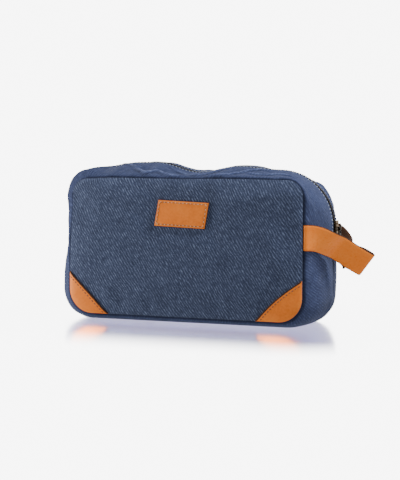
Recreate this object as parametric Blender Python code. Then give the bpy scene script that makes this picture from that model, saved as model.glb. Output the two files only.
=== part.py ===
"""Shaving kit bag: a soft box of canvas, foam and lining, with a zip over the top and both upper corners.

Frame: X is the width, the front panel faces -Y, +Z is up. The origin is the middle of the flat underside.
All sizes are in millimetres and become metres in build().
"""

import math

import bmesh
import bpy
from mathutils import Matrix, Vector

MM = 0.001
GAP = 0.3

# The two panels lie in the seam planes, y = -SEAM_Y and +SEAM_Y. The gusset bulges between them.
SEAM_Y = 46.0
SEAM_HALF_WIDTH = 119.0
SEAM_BASE = 6.0
SEAM_TOP = 141.0
SEAM_TOP_RADIUS = 16.0
SEAM_BASE_RADIUS = 24.0
SIDE_BULGE = 17.0
TOP_BULGE = 6.5
TOP_RADIUS_GAIN = 37.5
BASE_RADIUS_GAIN = 6.0
FLAT_BASE_HALF_DEPTH = 32.0

# Low humps either side of a dip in the soft top, between its two corner arcs.
LEFT_HUMP = 4.5
RIGHT_HUMP = 2.5
MIDDLE_DIP = 4.0

# Cloth layers, from the outside in.
CANVAS = 1.2
FOAM = 2.0
LINING = 0.8
BINDING = 0.8
BINDING_WIDTH = 8.0
PANEL_PUFF = 3.0
PUFF_MARGIN = 14.0
GUSSET_EDGE = SEAM_Y - CANVAS - 2 * GAP

# The zip: its ends, the half gap between its two sides, and the plane above which the back opens.
ZIP_END_Z = 83.0
MOUTH_Z = 104.0
ZIP_HALF_GAP = 0.6
TEETH_EDGE = 2.6
TAPE_EDGE = 12.0
TAPE = 0.6
CANVAS_TO_ZIP = 5.0
TEETH_RISE = 0.5
TEETH_DROP = 2.3
STOP_LENGTH = 2.2

# The slider sits at the height of the corner arc's centre, astride the two rows of teeth.
SLIDER_LENGTH = 12.0
SLIDER_HALF_WIDTH = 4.5
SLIDER_NARROWING = 0.78
SLIDER_TOP = (0.9, 2.3)
SLIDER_BOTTOM = (-4.4, -3.2)
BRIDGE_HALF_WIDTH = 0.28
CROWN_LENGTH = 7.0
CROWN_HALF_WIDTH = 1.2
CROWN_WIRE = 1.0
CROWN_PLAY = 0.5
CROWN_CHAMFER = 1.4
CROWN_FILLET = 0.4
PULL_PIVOT = 3.9
PULL_BAR = 0.55
PULL_LENGTH = 40.0
PULL_LEAN = math.radians(7)
PULL_HALF_WIDTH = 3.1
PULL_EYE_HALF_WIDTH = 1.75
PULL_EYE_LENGTH = 6.0
PULL_THICKNESS = 1.2
PULL_EYE_WALL = 0.4
PULL_WAIST = 0.8
PULL_TIP = 1.2
PULL_TIP_LENGTH = 5.0

# The hand strap: a leather band that leaves the front seam, droops, folds beyond the side and returns.
STRAP_WIDTH = 25.0
STRAP_THICKNESS = 2.0
STRAP_Z = 86.6
STRAP_AXIS = (137.0, 0.0, 82.0)
STRAP_DROOP = math.radians(35.5)
STRAP_DROOP_FROM = 120.0
STRAP_DROOP_TO = 140.0
STRAP_DROOP_STEPS = 40
STRAP_ROOT = [(120.9, 46.6), (124.8, 42.8), (130.0, 38.5), (135.8, 33.0), (139.8, 27.0)]
STRAP_ROOT += [(142.2, 22.0), (144.4, 18.6), (147.6, 16.3)]
STRAP_LIMB = [(148.1, 16.1), (154.0, 12.9), (161.0, 8.5), (166.3, 4.4), (168.6, 2.1), (169.2, 0.0)]

# Leather trim on the front panel.
LABEL_CENTRE = (-0.6, 105.8)
LABEL_WIDTH = 51.7
LABEL_HEIGHT = 25.4
LABEL_DROP = 1.7
LABEL_LEAN = 4.5
LABEL_THICKNESS = 1.8
PATCH_THICKNESS = 1.3
PATCH_LEG_LEFT = 40.0
PATCH_LEG_RIGHT = 43.0
PATCH_BOW_RIGHT = 2.5
PATCH_SEAM_INSET = 0.8
PATCH_ROWS = 4

# Points around one outline of the bag.
SIDE_STEPS = 2
TOP_ARC_STEPS = 8
BASE_ARC_STEPS = 4
TOP_STEPS = 10
BASE_STEPS = 2

# Depths at which the gusset's cloth has points, from seam to seam and from the zip to the back seam.
GUSSET_DEPTHS = (-GUSSET_EDGE, -39.0, -32.0, -22.0, -11.0, 0.0, 11.0, 22.0, 32.0, 39.0, GUSSET_EDGE)
ZIP_STRIP_DEPTHS = (12.5, 22.0, 32.0, 39.0, GUSSET_EDGE)

# Where each inner layer starts and ends below the outer face.
FOAM_START = CANVAS + GAP
FOAM_END = FOAM_START + FOAM
LINING_START = FOAM_END + GAP
LINING_END = LINING_START + LINING
TAPE_START = CANVAS + GAP
TAPE_END = TAPE_START + TAPE
ZIP_LINING_START = TAPE_END + GAP
BINDING_START = LINING_END + GAP
BINDING_REACH = SEAM_Y - CANVAS - FOAM - LINING - 3 * GAP

# The side at mid depth, and the centre that the zip's right corner curves about.
SIDE_X = SEAM_HALF_WIDTH + SIDE_BULGE
CORNER_RADIUS = SEAM_TOP_RADIUS + TOP_RADIUS_GAIN
CORNER_X = SIDE_X - CORNER_RADIUS
CORNER_Z = SEAM_TOP + TOP_BULGE - CORNER_RADIUS
PIVOT_X = SIDE_X + PULL_PIVOT

# Colour, roughness and metallic of each material.
CANVAS_LOOK = ((0.055, 0.085, 0.16), 0.9)
FOAM_LOOK = ((0.55, 0.55, 0.56), 0.95)
LINING_LOOK = ((0.03, 0.035, 0.05), 0.7)
LEATHER_LOOK = ((0.55, 0.21, 0.06), 0.5)
TAPE_LOOK = ((0.02, 0.022, 0.03), 0.85)
BRONZE_LOOK = ((0.23, 0.17, 0.10), 0.35, 1.0)


def clear_scene():
    for existing in list(bpy.data.objects):
        bpy.data.objects.remove(existing, do_unlink=True)


def material(name, colour, roughness, metallic=0.0):
    made = bpy.data.materials.new(name)
    made.use_nodes = True
    shader = made.node_tree.nodes["Principled BSDF"]
    shader.inputs["Base Color"].default_value = (*colour, 1.0)
    shader.inputs["Roughness"].default_value = roughness
    shader.inputs["Metallic"].default_value = metallic
    return made


def build(name, shape, look, origin=(0.0, 0.0, 0.0)):
    """Turn a bmesh in millimetres into an object in metres, its own origin at the given point."""
    bmesh.ops.recalc_face_normals(shape, faces=shape.faces)
    bmesh.ops.translate(shape, verts=shape.verts, vec=-Vector(origin))
    bmesh.ops.scale(shape, verts=shape.verts, vec=(MM, MM, MM))
    mesh = bpy.data.meshes.new(name)
    shape.to_mesh(mesh)
    shape.free()
    mesh.shade_smooth()
    mesh.set_sharp_from_angle(angle=math.radians(35))
    mesh.materials.append(material(name, *look))
    made = bpy.data.objects.new(name, mesh)
    made.location = Vector(origin) * MM
    bpy.context.collection.objects.link(made)
    return made


def swell(y):
    """How far the gusset has swollen at depth y: 0 at a seam, 1 at mid depth, along a circle."""
    radius = (SEAM_Y**2 + SIDE_BULGE**2) / (2 * SIDE_BULGE)
    return (math.sqrt(radius**2 - y**2) - radius + SIDE_BULGE) / SIDE_BULGE


def top_wave(x, y):
    """Height added to the soft top at (x, y): a hump each side and a dip in the middle."""
    span = SEAM_HALF_WIDTH + SIDE_BULGE - SEAM_TOP_RADIUS - TOP_RADIUS_GAIN
    place = abs(x) / span
    if place >= 1.0:
        return 0.0
    hump = RIGHT_HUMP if x > 0 else LEFT_HUMP
    rise = hump * 0.5 * (1 - math.cos(2 * math.pi * place)) if place > 0.5 else hump
    dip = (hump + MIDDLE_DIP) * 0.5 * (1 + math.cos(2 * math.pi * place)) if place < 0.5 else 0.0
    return (rise - dip) * (1 - (y / SEAM_Y) ** 2)


def arc(centre, radius, start, steps):
    """Points of a quarter circle from the start angle in degrees, without the last one."""
    angles = [math.radians(start + 90 * step / steps) for step in range(steps)]
    return [(centre[0] + radius * math.cos(a), centre[1] + radius * math.sin(a)) for a in angles]


def straight(start, end, steps):
    """Points from start towards end, without the last one."""
    return [
        (start[0] + (end[0] - start[0]) * step / steps, start[1] + (end[1] - start[1]) * step / steps)
        for step in range(steps)
    ]


def outline(y, inset):
    """The bag's outline at depth y, moved inwards by inset, as (x, z) points counter-clockwise."""
    grown = swell(y)
    half = SEAM_HALF_WIDTH + SIDE_BULGE * grown - inset
    top = SEAM_TOP + TOP_BULGE * grown - inset
    curl = max(0.0, abs(y) - FLAT_BASE_HALF_DEPTH) / (SEAM_Y - FLAT_BASE_HALF_DEPTH)
    base = SEAM_BASE * curl**2 + inset
    upper = SEAM_TOP_RADIUS + TOP_RADIUS_GAIN * grown - inset
    lower = SEAM_BASE_RADIUS + BASE_RADIUS_GAIN * grown - inset
    points = straight((half, base + lower), (half, top - upper), SIDE_STEPS)
    points += arc((half - upper, top - upper), upper, 0, TOP_ARC_STEPS)
    level = straight((half - upper, top), (upper - half, top), TOP_STEPS)
    points += [(x, z + top_wave(x, y)) for x, z in level]
    points += arc((upper - half, top - upper), upper, 90, TOP_ARC_STEPS)
    points += straight((-half, top - upper), (-half, base + lower), SIDE_STEPS)
    points += arc((lower - half, base + lower), lower, 180, BASE_ARC_STEPS)
    points += straight((lower - half, base), (half - lower, base), BASE_STEPS)
    points += arc((half - lower, base + lower), lower, 270, BASE_ARC_STEPS)
    return points


def bridge(shape, first, second):
    """Quads between two closed loops of vertices with as many points each."""
    for place, corner in enumerate(first):
        after = (place + 1) % len(first)
        shape.faces.new((corner, first[after], second[after], second[place]))


def loop_of(shape, points, y):
    return [shape.verts.new((x, y, z)) for x, z in points]


def band(depths, outer, inner):
    """A ring of cloth round the bag between the first and last depth, from inset outer to inset inner."""
    shape = bmesh.new()
    outside = [loop_of(shape, outline(y, outer), y) for y in depths]
    inside = [loop_of(shape, outline(y, inner), y) for y in depths]
    for first, second in zip(outside, outside[1:]):
        bridge(shape, first, second)
    for first, second in zip(inside, inside[1:]):
        bridge(shape, second, first)
    bridge(shape, inside[0], outside[0])
    bridge(shape, outside[-1], inside[-1])
    bmesh.ops.recalc_face_normals(shape, faces=shape.faces)
    return shape


def keep(shape, point, normal):
    """Cut a closed shape by a plane, keep the side that the normal points to, and close the cut."""
    whole = shape.verts[:] + shape.edges[:] + shape.faces[:]
    bmesh.ops.bisect_plane(shape, geom=whole, plane_co=point, plane_no=normal, clear_inner=True)
    rim = [edge for edge in shape.edges if edge.is_boundary]
    bmesh.ops.holes_fill(shape, edges=rim, sides=0)
    return shape


def above(shape, height):
    return keep(shape, (0, 0, height + GAP / 2), (0, 0, 1))


def below(shape, height):
    return keep(shape, (0, 0, height - GAP / 2), (0, 0, -1))


def side_of(shape, side):
    return keep(shape, (0, 0, 0), (side, 0, 0))


def seam_distance(x, z):
    """How far (x, z) lies inside the panel's outline, for points in its lower half."""
    across = SEAM_HALF_WIDTH - abs(x)
    upwards = z - SEAM_BASE
    if across < SEAM_BASE_RADIUS and upwards < SEAM_BASE_RADIUS:
        return SEAM_BASE_RADIUS - math.hypot(SEAM_BASE_RADIUS - across, SEAM_BASE_RADIUS - upwards)
    return min(across, upwards)


def panel_depth(distance):
    """Distance of a panel's outer face from mid depth: it puffs out behind its seam and is flat beyond."""
    part = min(1.0, max(0.0, distance / PUFF_MARGIN))
    return SEAM_Y + PANEL_PUFF * part * part * (3 - 2 * part)


def plate(side, insets, outer, inner):
    """A panel of rings at the insets, closed by a flat middle. outer and inner give depth at an inset."""
    shape = bmesh.new()
    outside = [loop_of(shape, outline(SEAM_Y, inset), side * outer(inset)) for inset in insets]
    inside = [loop_of(shape, outline(SEAM_Y, inset), side * inner(inset)) for inset in insets]
    for layer in (outside, inside):
        for first, second in zip(layer, layer[1:]):
            bridge(shape, first, second)
        shape.faces.new(layer[-1])
    bridge(shape, outside[0], inside[0])
    return shape


def canvas_panel(side):
    return plate(side, (0.0, 3.0, 7.0, PUFF_MARGIN), panel_depth, lambda inset: panel_depth(inset) - CANVAS)


def foam_panel(side):
    back = SEAM_Y - CANVAS - GAP - FOAM
    insets = (5.6, 9.0, PUFF_MARGIN)
    return plate(side, insets, lambda inset: panel_depth(inset) - CANVAS - GAP, lambda inset: back)


def lining_panel(side):
    face = SEAM_Y - CANVAS - FOAM - 2 * GAP
    return plate(side, (5.6,), lambda inset: face, lambda inset: face - LINING)


def half_depths(side, start):
    """The gusset's depths on one side of the zip, from the start depth out to the seam."""
    return tuple(side * y for y in (start, *ZIP_STRIP_DEPTHS))


def build_panels():
    """Front panel whole, back panel in two parts that meet at the mouth's fold."""
    build("front_panel", canvas_panel(-1), CANVAS_LOOK)
    build("front_interlining", foam_panel(-1), FOAM_LOOK)
    build("front_lining", lining_panel(-1), LINING_LOOK)
    build("back_panel_lower", below(canvas_panel(1), MOUTH_Z), CANVAS_LOOK)
    build("back_panel_upper", above(canvas_panel(1), MOUTH_Z), CANVAS_LOOK)
    build("back_interlining_lower", below(foam_panel(1), MOUTH_Z), FOAM_LOOK)
    build("back_interlining_upper", above(foam_panel(1), MOUTH_Z), FOAM_LOOK)
    build("back_lining_lower", below(lining_panel(1), MOUTH_Z), LINING_LOOK)
    build("back_lining_upper", above(lining_panel(1), MOUTH_Z), LINING_LOOK)


def build_gusset():
    """The base and sides in one strip, and the two strips that carry the zip over the top."""
    build("side_base_gusset", below(band(GUSSET_DEPTHS, 0.0, CANVAS), ZIP_END_Z), CANVAS_LOOK)
    foam = band(GUSSET_DEPTHS, FOAM_START, FOAM_END)
    build("gusset_interlining", below(foam, ZIP_END_Z), FOAM_LOOK)
    lining = band(GUSSET_DEPTHS, LINING_START, LINING_END)
    build("gusset_lining", below(lining, ZIP_END_Z), LINING_LOOK)


def seam_binding(side):
    depths = (side * (BINDING_REACH - BINDING_WIDTH), side * (BINDING_REACH - GAP))
    return band(depths, BINDING_START, BINDING_START + BINDING)


def build_seam_bindings():
    """Tape over the raw seams inside, lying on the lining along each panel."""
    build("front_seam_binding", seam_binding(-1), TAPE_LOOK)
    build("back_seam_binding_lower", below(seam_binding(1), MOUTH_Z), TAPE_LOOK)
    build("back_seam_binding_upper", above(seam_binding(1), MOUTH_Z), TAPE_LOOK)


def zip_layers(side):
    """Name ending, shape maker and look of each layer of one zip strip."""
    canvas_depths = half_depths(side, CANVAS_TO_ZIP)
    lining_depths = half_depths(side, CANVAS_TO_ZIP + 1.5)
    tape_depths = (side * (TEETH_EDGE + GAP), side * TAPE_EDGE)
    teeth_depths = (side * ZIP_HALF_GAP, side * TEETH_EDGE)
    return (
        ("zip_gusset", lambda: band(canvas_depths, 0.0, CANVAS), CANVAS_LOOK),
        ("zip_lining", lambda: band(lining_depths, ZIP_LINING_START, ZIP_LINING_START + LINING), LINING_LOOK),
        ("zip_tape", lambda: band(tape_depths, TAPE_START, TAPE_END), TAPE_LOOK),
        ("zip_teeth", lambda: band(teeth_depths, -TEETH_RISE, TEETH_DROP), BRONZE_LOOK),
    )


def build_zip():
    """Front strip whole. The back strip is in three: its two ends stay with the sides, the rest opens."""
    for ending, shape, look in zip_layers(-1):
        start = ZIP_END_Z + (STOP_LENGTH + 2 * GAP if ending == "zip_teeth" else 0.0)
        build(f"front_{ending}", above(shape(), start), look)
    for ending, shape, look in zip_layers(1):
        start = ZIP_END_Z + (STOP_LENGTH + 2 * GAP if ending == "zip_teeth" else 0.0)
        build(f"back_{ending}", above(shape(), MOUTH_Z), look)
        for side, place in ((-1, "left"), (1, "right")):
            end = below(above(side_of(shape(), side), start), MOUTH_Z)
            build(f"back_{ending}_{place}_end", end, look)


def zip_stop(side, from_y, to_y):
    """A metal clip at one end of the teeth, on the straight run of the side."""
    shape = band((from_y, to_y), -TEETH_RISE - GAP, TEETH_DROP + GAP)
    low = ZIP_END_Z + GAP
    return below(above(side_of(shape, side), low), low + STOP_LENGTH)


def build_zip_stops():
    build("zip_bottom_stop", zip_stop(-1, -TEETH_EDGE, TEETH_EDGE), BRONZE_LOOK)
    build("zip_top_stop_front", zip_stop(1, -TEETH_EDGE, -ZIP_HALF_GAP), BRONZE_LOOK)
    build("zip_top_stop_back", zip_stop(1, ZIP_HALF_GAP, TEETH_EDGE), BRONZE_LOOK)


def extrude_profile(profile, place, from_end, to_end):
    """A prism: place(u, v, end) gives the point of profile corner (u, v) at each end."""
    shape = bmesh.new()
    first = [shape.verts.new(place(u, v, from_end)) for u, v in profile]
    second = [shape.verts.new(place(u, v, to_end)) for u, v in profile]
    bridge(shape, first, second)
    shape.faces.new(first)
    shape.faces.new(second)
    return shape


def slider_body():
    """Two plates joined by a thin bridge that runs between the rows of teeth, narrower at its lower end."""
    low, deep = SLIDER_BOTTOM
    near, far = SLIDER_TOP
    wide = SLIDER_HALF_WIDTH
    thin = BRIDGE_HALF_WIDTH
    half = [(wide, far), (wide, near), (thin, near), (thin, deep), (wide, deep), (wide, low)]
    profile = half + [(-y, rise) for y, rise in reversed(half)]

    def place(y, rise, end):
        narrow = 1.0 if end > 0 or abs(y) < wide else SLIDER_NARROWING
        return (SIDE_X + rise, y * narrow, CORNER_Z + end)

    return extrude_profile(profile, place, -SLIDER_LENGTH / 2, SLIDER_LENGTH / 2)


def slider_crown():
    """A bail that arches over the top plate, lengthwise, and holds the pull's bar."""
    foot = SLIDER_TOP[1] + GAP
    half = CROWN_LENGTH / 2
    clear = half - CROWN_WIRE
    shoulder = PULL_PIVOT + PULL_BAR + CROWN_PLAY
    peak = shoulder + CROWN_WIRE
    outer = [(-half, foot), (-half, shoulder), (CROWN_CHAMFER - half, peak)]
    outer += [(-along, rise) for along, rise in reversed(outer)]
    inner = [(clear, foot), (clear, shoulder - CROWN_FILLET), (half - 2 * CROWN_WIRE, shoulder)]
    inner += [(-along, rise) for along, rise in reversed(inner)]

    def place(along, rise, y):
        return (SIDE_X + rise, y, CORNER_Z + along)

    return extrude_profile(outer + inner, place, -CROWN_HALF_WIDTH, CROWN_HALF_WIDTH)


def pull_tab():
    """A flat tab with a square eye. The eye's top bar runs through the crown, and the tab leans outwards."""
    wide = PULL_HALF_WIDTH
    eye = PULL_EYE_HALF_WIDTH
    outer = [(wide, -PULL_BAR), (wide, PULL_BAR + PULL_EYE_WALL)]
    outer += [(wide - PULL_WAIST, 1.5 * PULL_EYE_LENGTH)]
    outer += [(wide, PULL_LENGTH - PULL_TIP_LENGTH), (wide - PULL_TIP, PULL_LENGTH)]
    rim = outer + [(-y, down) for y, down in reversed(outer)]
    hole = [(eye, PULL_BAR), (eye, PULL_EYE_LENGTH), (-eye, PULL_EYE_LENGTH), (-eye, PULL_BAR)]
    shape = bmesh.new()
    layers = []
    for rise in (PULL_PIVOT - PULL_THICKNESS / 2, PULL_PIVOT + PULL_THICKNESS / 2):
        edge = [shape.verts.new((SIDE_X + rise, y, CORNER_Z - down)) for y, down in rim]
        cut = [shape.verts.new((SIDE_X + rise, y, CORNER_Z - down)) for y, down in hole]
        last = len(rim) - 1
        shape.faces.new((edge[0], edge[1], cut[0]))
        shape.faces.new((edge[1], edge[2], cut[1], cut[0]))
        shape.faces.new((edge[2], edge[last - 2], cut[2], cut[1]))
        shape.faces.new((edge[last - 2], edge[last - 1], cut[3], cut[2]))
        shape.faces.new((edge[last - 1], edge[last], cut[3]))
        shape.faces.new((edge[last], edge[0], cut[0], cut[3]))
        shape.faces.new(edge[2 : last - 1])
        layers.append((edge, cut))
    for low_loop, high_loop in zip(*layers):
        bridge(shape, low_loop, high_loop)
    lean = Matrix.Rotation(-PULL_LEAN, 3, "Y")
    bmesh.ops.rotate(shape, cent=(PIVOT_X, 0.0, CORNER_Z), matrix=lean, verts=shape.verts)
    return shape


def build_slider():
    """The slider turns about the corner arc's centre, the pull about the bar under the crown."""
    corner = (CORNER_X, 0.0, CORNER_Z)
    build("slider_body", slider_body(), BRONZE_LOOK, corner)
    build("slider_crown", slider_crown(), BRONZE_LOOK, corner)
    build("pull_tab", pull_tab(), BRONZE_LOOK, (PIVOT_X, 0.0, CORNER_Z))


def strap_tilt(x):
    """How far the strap's section leans outwards at x, as it droops."""
    part = min(1.0, max(0.0, (x - STRAP_DROOP_FROM) / (STRAP_DROOP_TO - STRAP_DROOP_FROM)))
    return STRAP_DROOP * part * part * (3 - 2 * part)


def strap_drop(x):
    """How far the middle of the strap has sunk at x: the slope there is that of its edges."""
    run = max(0.0, x - STRAP_DROOP_FROM) / STRAP_DROOP_STEPS
    middles = (STRAP_DROOP_FROM + run * (step + 0.5) for step in range(STRAP_DROOP_STEPS))
    return run * sum(math.tan(strap_tilt(middle)) for middle in middles)


def strap_section(before, point, after, side):
    """Four corners of the strap's section at one point of its path, seen from above."""
    along = (Vector(after) - Vector(before)).normalized()
    across = Vector((along.y, -along.x)) * (STRAP_THICKNESS / 2)
    turn = Matrix.Rotation(strap_tilt(point[0]), 3, "Y")
    centre = Vector((point[0], side * point[1], STRAP_Z - strap_drop(point[0])))
    corners = []
    for away, up in ((-1, -1), (1, -1), (1, 1), (-1, 1)):
        offset = Vector((away * across.x, side * away * across.y, up * STRAP_WIDTH / 2))
        corners.append(centre + turn @ offset)
    return corners


def strap_strip(path, side=1):
    """A leather strip along a path of (x, y) points. The side mirrors it from the back to the front."""
    shape = bmesh.new()
    rings = []
    for place, point in enumerate(path):
        before = path[max(0, place - 1)]
        after = path[min(len(path) - 1, place + 1)]
        rings.append([shape.verts.new(corner) for corner in strap_section(before, point, after, side)])
    for first, second in zip(rings, rings[1:]):
        bridge(shape, first, second)
    shape.faces.new(rings[0])
    shape.faces.new(rings[-1])
    return shape


def build_strap():
    build("strap_front_anchor", strap_strip(STRAP_ROOT, -1), LEATHER_LOOK)
    build("strap_back_anchor", strap_strip(STRAP_ROOT), LEATHER_LOOK)
    whole = STRAP_LIMB + [(x, -y) for x, y in reversed(STRAP_LIMB[:-1])]
    build("strap_loop", strap_strip(whole), LEATHER_LOOK, STRAP_AXIS)


def label_patch():
    """A leather label, slightly turned and leaning, flat on the panel's flat middle."""
    centre_x, centre_z = LABEL_CENTRE
    corners = []
    for right, up in ((-1, 1), (1, 1), (1, -1), (-1, -1)):
        x = centre_x + right * LABEL_WIDTH / 2 + up * LABEL_LEAN / 2
        corners.append((x, centre_z + up * LABEL_HEIGHT / 2 - right * LABEL_DROP / 2))
    rest = -(SEAM_Y + PANEL_PUFF + GAP)
    return extrude_profile(corners, lambda x, z, y: (x, y, z), rest, rest - LABEL_THICKNESS)


def corner_border(leg):
    """A corner patch's border along the seam, from its tip up the side to its tip along the base."""
    half = SEAM_HALF_WIDTH - PATCH_SEAM_INSET
    base = SEAM_BASE + PATCH_SEAM_INSET
    radius = SEAM_BASE_RADIUS - PATCH_SEAM_INSET
    border = straight((half, base + leg), (half, base + radius), 2) + [(half, base + radius)]
    border += reversed(arc((half - radius, base + radius), radius, 270, BASE_ARC_STEPS + 2))
    border += straight((half - radius, base), (half - leg, base), 2)[1:] + [(half - leg, base)]
    return border


def corner_patch(side, leg, bow):
    """A leather corner over the panel's puffed lower corner, from its seam to its long side."""
    border = corner_border(leg)
    tip = border[0]
    end = border[-1]
    shape = bmesh.new()
    layers = []
    for lift in (GAP, GAP + PATCH_THICKNESS):
        columns = []
        for place, (x, z) in enumerate(border):
            part = place / (len(border) - 1)
            out = bow * math.sin(math.pi * part) / math.sqrt(2)
            goal = (tip[0] + (end[0] - tip[0]) * part - out, tip[1] + (end[1] - tip[1]) * part + out)
            column = straight((x, z), goal, PATCH_ROWS) + [goal]
            columns.append(
                [shape.verts.new((side * u, -panel_depth(seam_distance(u, w)) - lift, w)) for u, w in column]
            )
        layers.append(columns)
        for first, second in zip(columns, columns[1:]):
            for row in range(PATCH_ROWS):
                shape.faces.new((first[row], first[row + 1], second[row + 1], second[row]))
    for row in (0, PATCH_ROWS):
        for place in range(len(border) - 1):
            near, far = ((layer[place][row], layer[place + 1][row]) for layer in layers)
            shape.faces.new((*near, *reversed(far)))
    bmesh.ops.remove_doubles(shape, verts=shape.verts, dist=GAP / 10)
    return shape


def build_trim():
    build("label_patch", label_patch(), LEATHER_LOOK)
    build("corner_patch_left", corner_patch(-1, PATCH_LEG_LEFT, 0.0), LEATHER_LOOK)
    build("corner_patch_right", corner_patch(1, PATCH_LEG_RIGHT, PATCH_BOW_RIGHT), LEATHER_LOOK)


clear_scene()
build_panels()
build_gusset()
build_seam_bindings()
build_zip()
build_zip_stops()
build_slider()
build_strap()
build_trim()
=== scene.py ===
"""Looks of the shaving kit bag: sewn canvas, foam and lining, leather trim, and the zip.

The shapes are worked out in millimetres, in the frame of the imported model. piece() makes them metres.
"""

import math

import bmesh
import bpy
from mathutils import Matrix, Vector, noise


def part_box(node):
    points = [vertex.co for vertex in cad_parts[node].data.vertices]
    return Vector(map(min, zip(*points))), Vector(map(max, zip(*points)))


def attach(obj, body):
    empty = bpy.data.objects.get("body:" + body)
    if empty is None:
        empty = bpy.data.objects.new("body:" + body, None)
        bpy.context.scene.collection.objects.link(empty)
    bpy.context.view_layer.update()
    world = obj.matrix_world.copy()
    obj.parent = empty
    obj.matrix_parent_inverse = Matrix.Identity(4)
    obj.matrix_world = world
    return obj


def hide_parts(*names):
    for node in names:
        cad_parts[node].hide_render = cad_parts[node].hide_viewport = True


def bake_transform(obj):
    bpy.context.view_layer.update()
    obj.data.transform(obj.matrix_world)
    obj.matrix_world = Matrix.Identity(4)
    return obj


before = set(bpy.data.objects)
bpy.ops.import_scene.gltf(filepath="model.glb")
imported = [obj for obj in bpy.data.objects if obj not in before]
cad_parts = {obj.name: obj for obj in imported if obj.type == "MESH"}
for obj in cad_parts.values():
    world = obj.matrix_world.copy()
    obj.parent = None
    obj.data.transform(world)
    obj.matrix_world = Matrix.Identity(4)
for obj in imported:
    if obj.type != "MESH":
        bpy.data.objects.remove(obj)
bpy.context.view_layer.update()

MM = 0.001


def node_box(name):
    """A CAD node's corners in millimetres."""
    low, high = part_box(name)
    return Vector(low) / MM, Vector(high) / MM


panel_low, panel_high = node_box("front_panel")
label_low, label_high = node_box("label_patch")

# The bag's outline at a seam and how the gusset swells from it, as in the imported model.
SEAM_Y = 46.0
SEAM_HALF = panel_high.x
SEAM_BASE = panel_low.z
SEAM_TOP = panel_high.z
SIDE_BULGE = node_box("side_base_gusset")[1].x - panel_high.x
TOP_BULGE = 6.5
SEAM_TOP_RADIUS = 16.0
SEAM_BASE_RADIUS = 24.0
TOP_RADIUS_GAIN = 37.5
BASE_RADIUS_GAIN = 6.0
FLAT_HALF_DEPTH = 32.0
LEFT_HUMP = 4.5
RIGHT_HUMP = 2.5
MIDDLE_DIP = 4.0
SHOULDER_HUMP = 3.0
SHOULDER_HUMP_X = -72.0
SHOULDER_HUMP_WIDTH = 16.0
ZIP_END_Z = 83.0
MIDDLE_Z = 70.0
SIDES = (("front", -1), ("back", 1))

# Cloth.
CANVAS = 1.2
FOAM = 2.0
LINING = 0.8
GAP = 0.3
PANEL_PUFF = 3.0
PUFF_LENGTH = 4.2

# The cloth simulation: its length, the furthest that a point may move, its pressure, and how much larger
# than its space each cloth is cut.
CLOTH_FRAMES = 20
CLOTH_CAP = 2.2
CLOTH_PRESSURE = 2.0
PANEL_SLACK = 0.006
STRIP_SLACK = 0.012
CLOTH_FEEL = {
    "quality": 6,
    "mass": 0.2,
    "tension_stiffness": 20,
    "compression_stiffness": 20,
    "shear_stiffness": 8,
    "bending_stiffness": 0.6,
}


# ---- materials


class Tree:
    """The node tree of a material or world, with short ways to add nodes."""

    def __init__(self, owner):
        owner.use_nodes = True
        self.nodes = owner.node_tree.nodes
        self.links = owner.node_tree.links

    def feed(self, socket, value):
        if isinstance(value, bpy.types.NodeSocket):
            self.links.new(value, socket)
        elif value is not None:
            socket.default_value = value

    def add(self, kind, inputs=None, **settings):
        node = self.nodes.new(f"ShaderNode{kind}")
        for key, value in settings.items():
            setattr(node, key, value)
        for key, value in (inputs or {}).items():
            self.feed(node.inputs[key], value)
        return node

    def calc(self, operation, first, second=None, third=None):
        return self.add("Math", {0: first, 1: second, 2: third}, operation=operation).outputs[0]

    def mul(self, first, second):
        return self.calc("MULTIPLY", first, second)

    def mul_add(self, first, second, third):
        return self.calc("MULTIPLY_ADD", first, second, third)

    def vector(self, operation, *parts, output="Vector"):
        return self.add("VectorMath", dict(enumerate(parts)), operation=operation).outputs[output]

    def range(self, value, low, high, to_low=0.0, to_high=1.0, kind="LINEAR"):
        inputs = {"Value": value, "From Min": low, "From Max": high, "To Min": to_low, "To Max": to_high}
        return self.add("MapRange", inputs, interpolation_type=kind).outputs["Result"]


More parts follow.
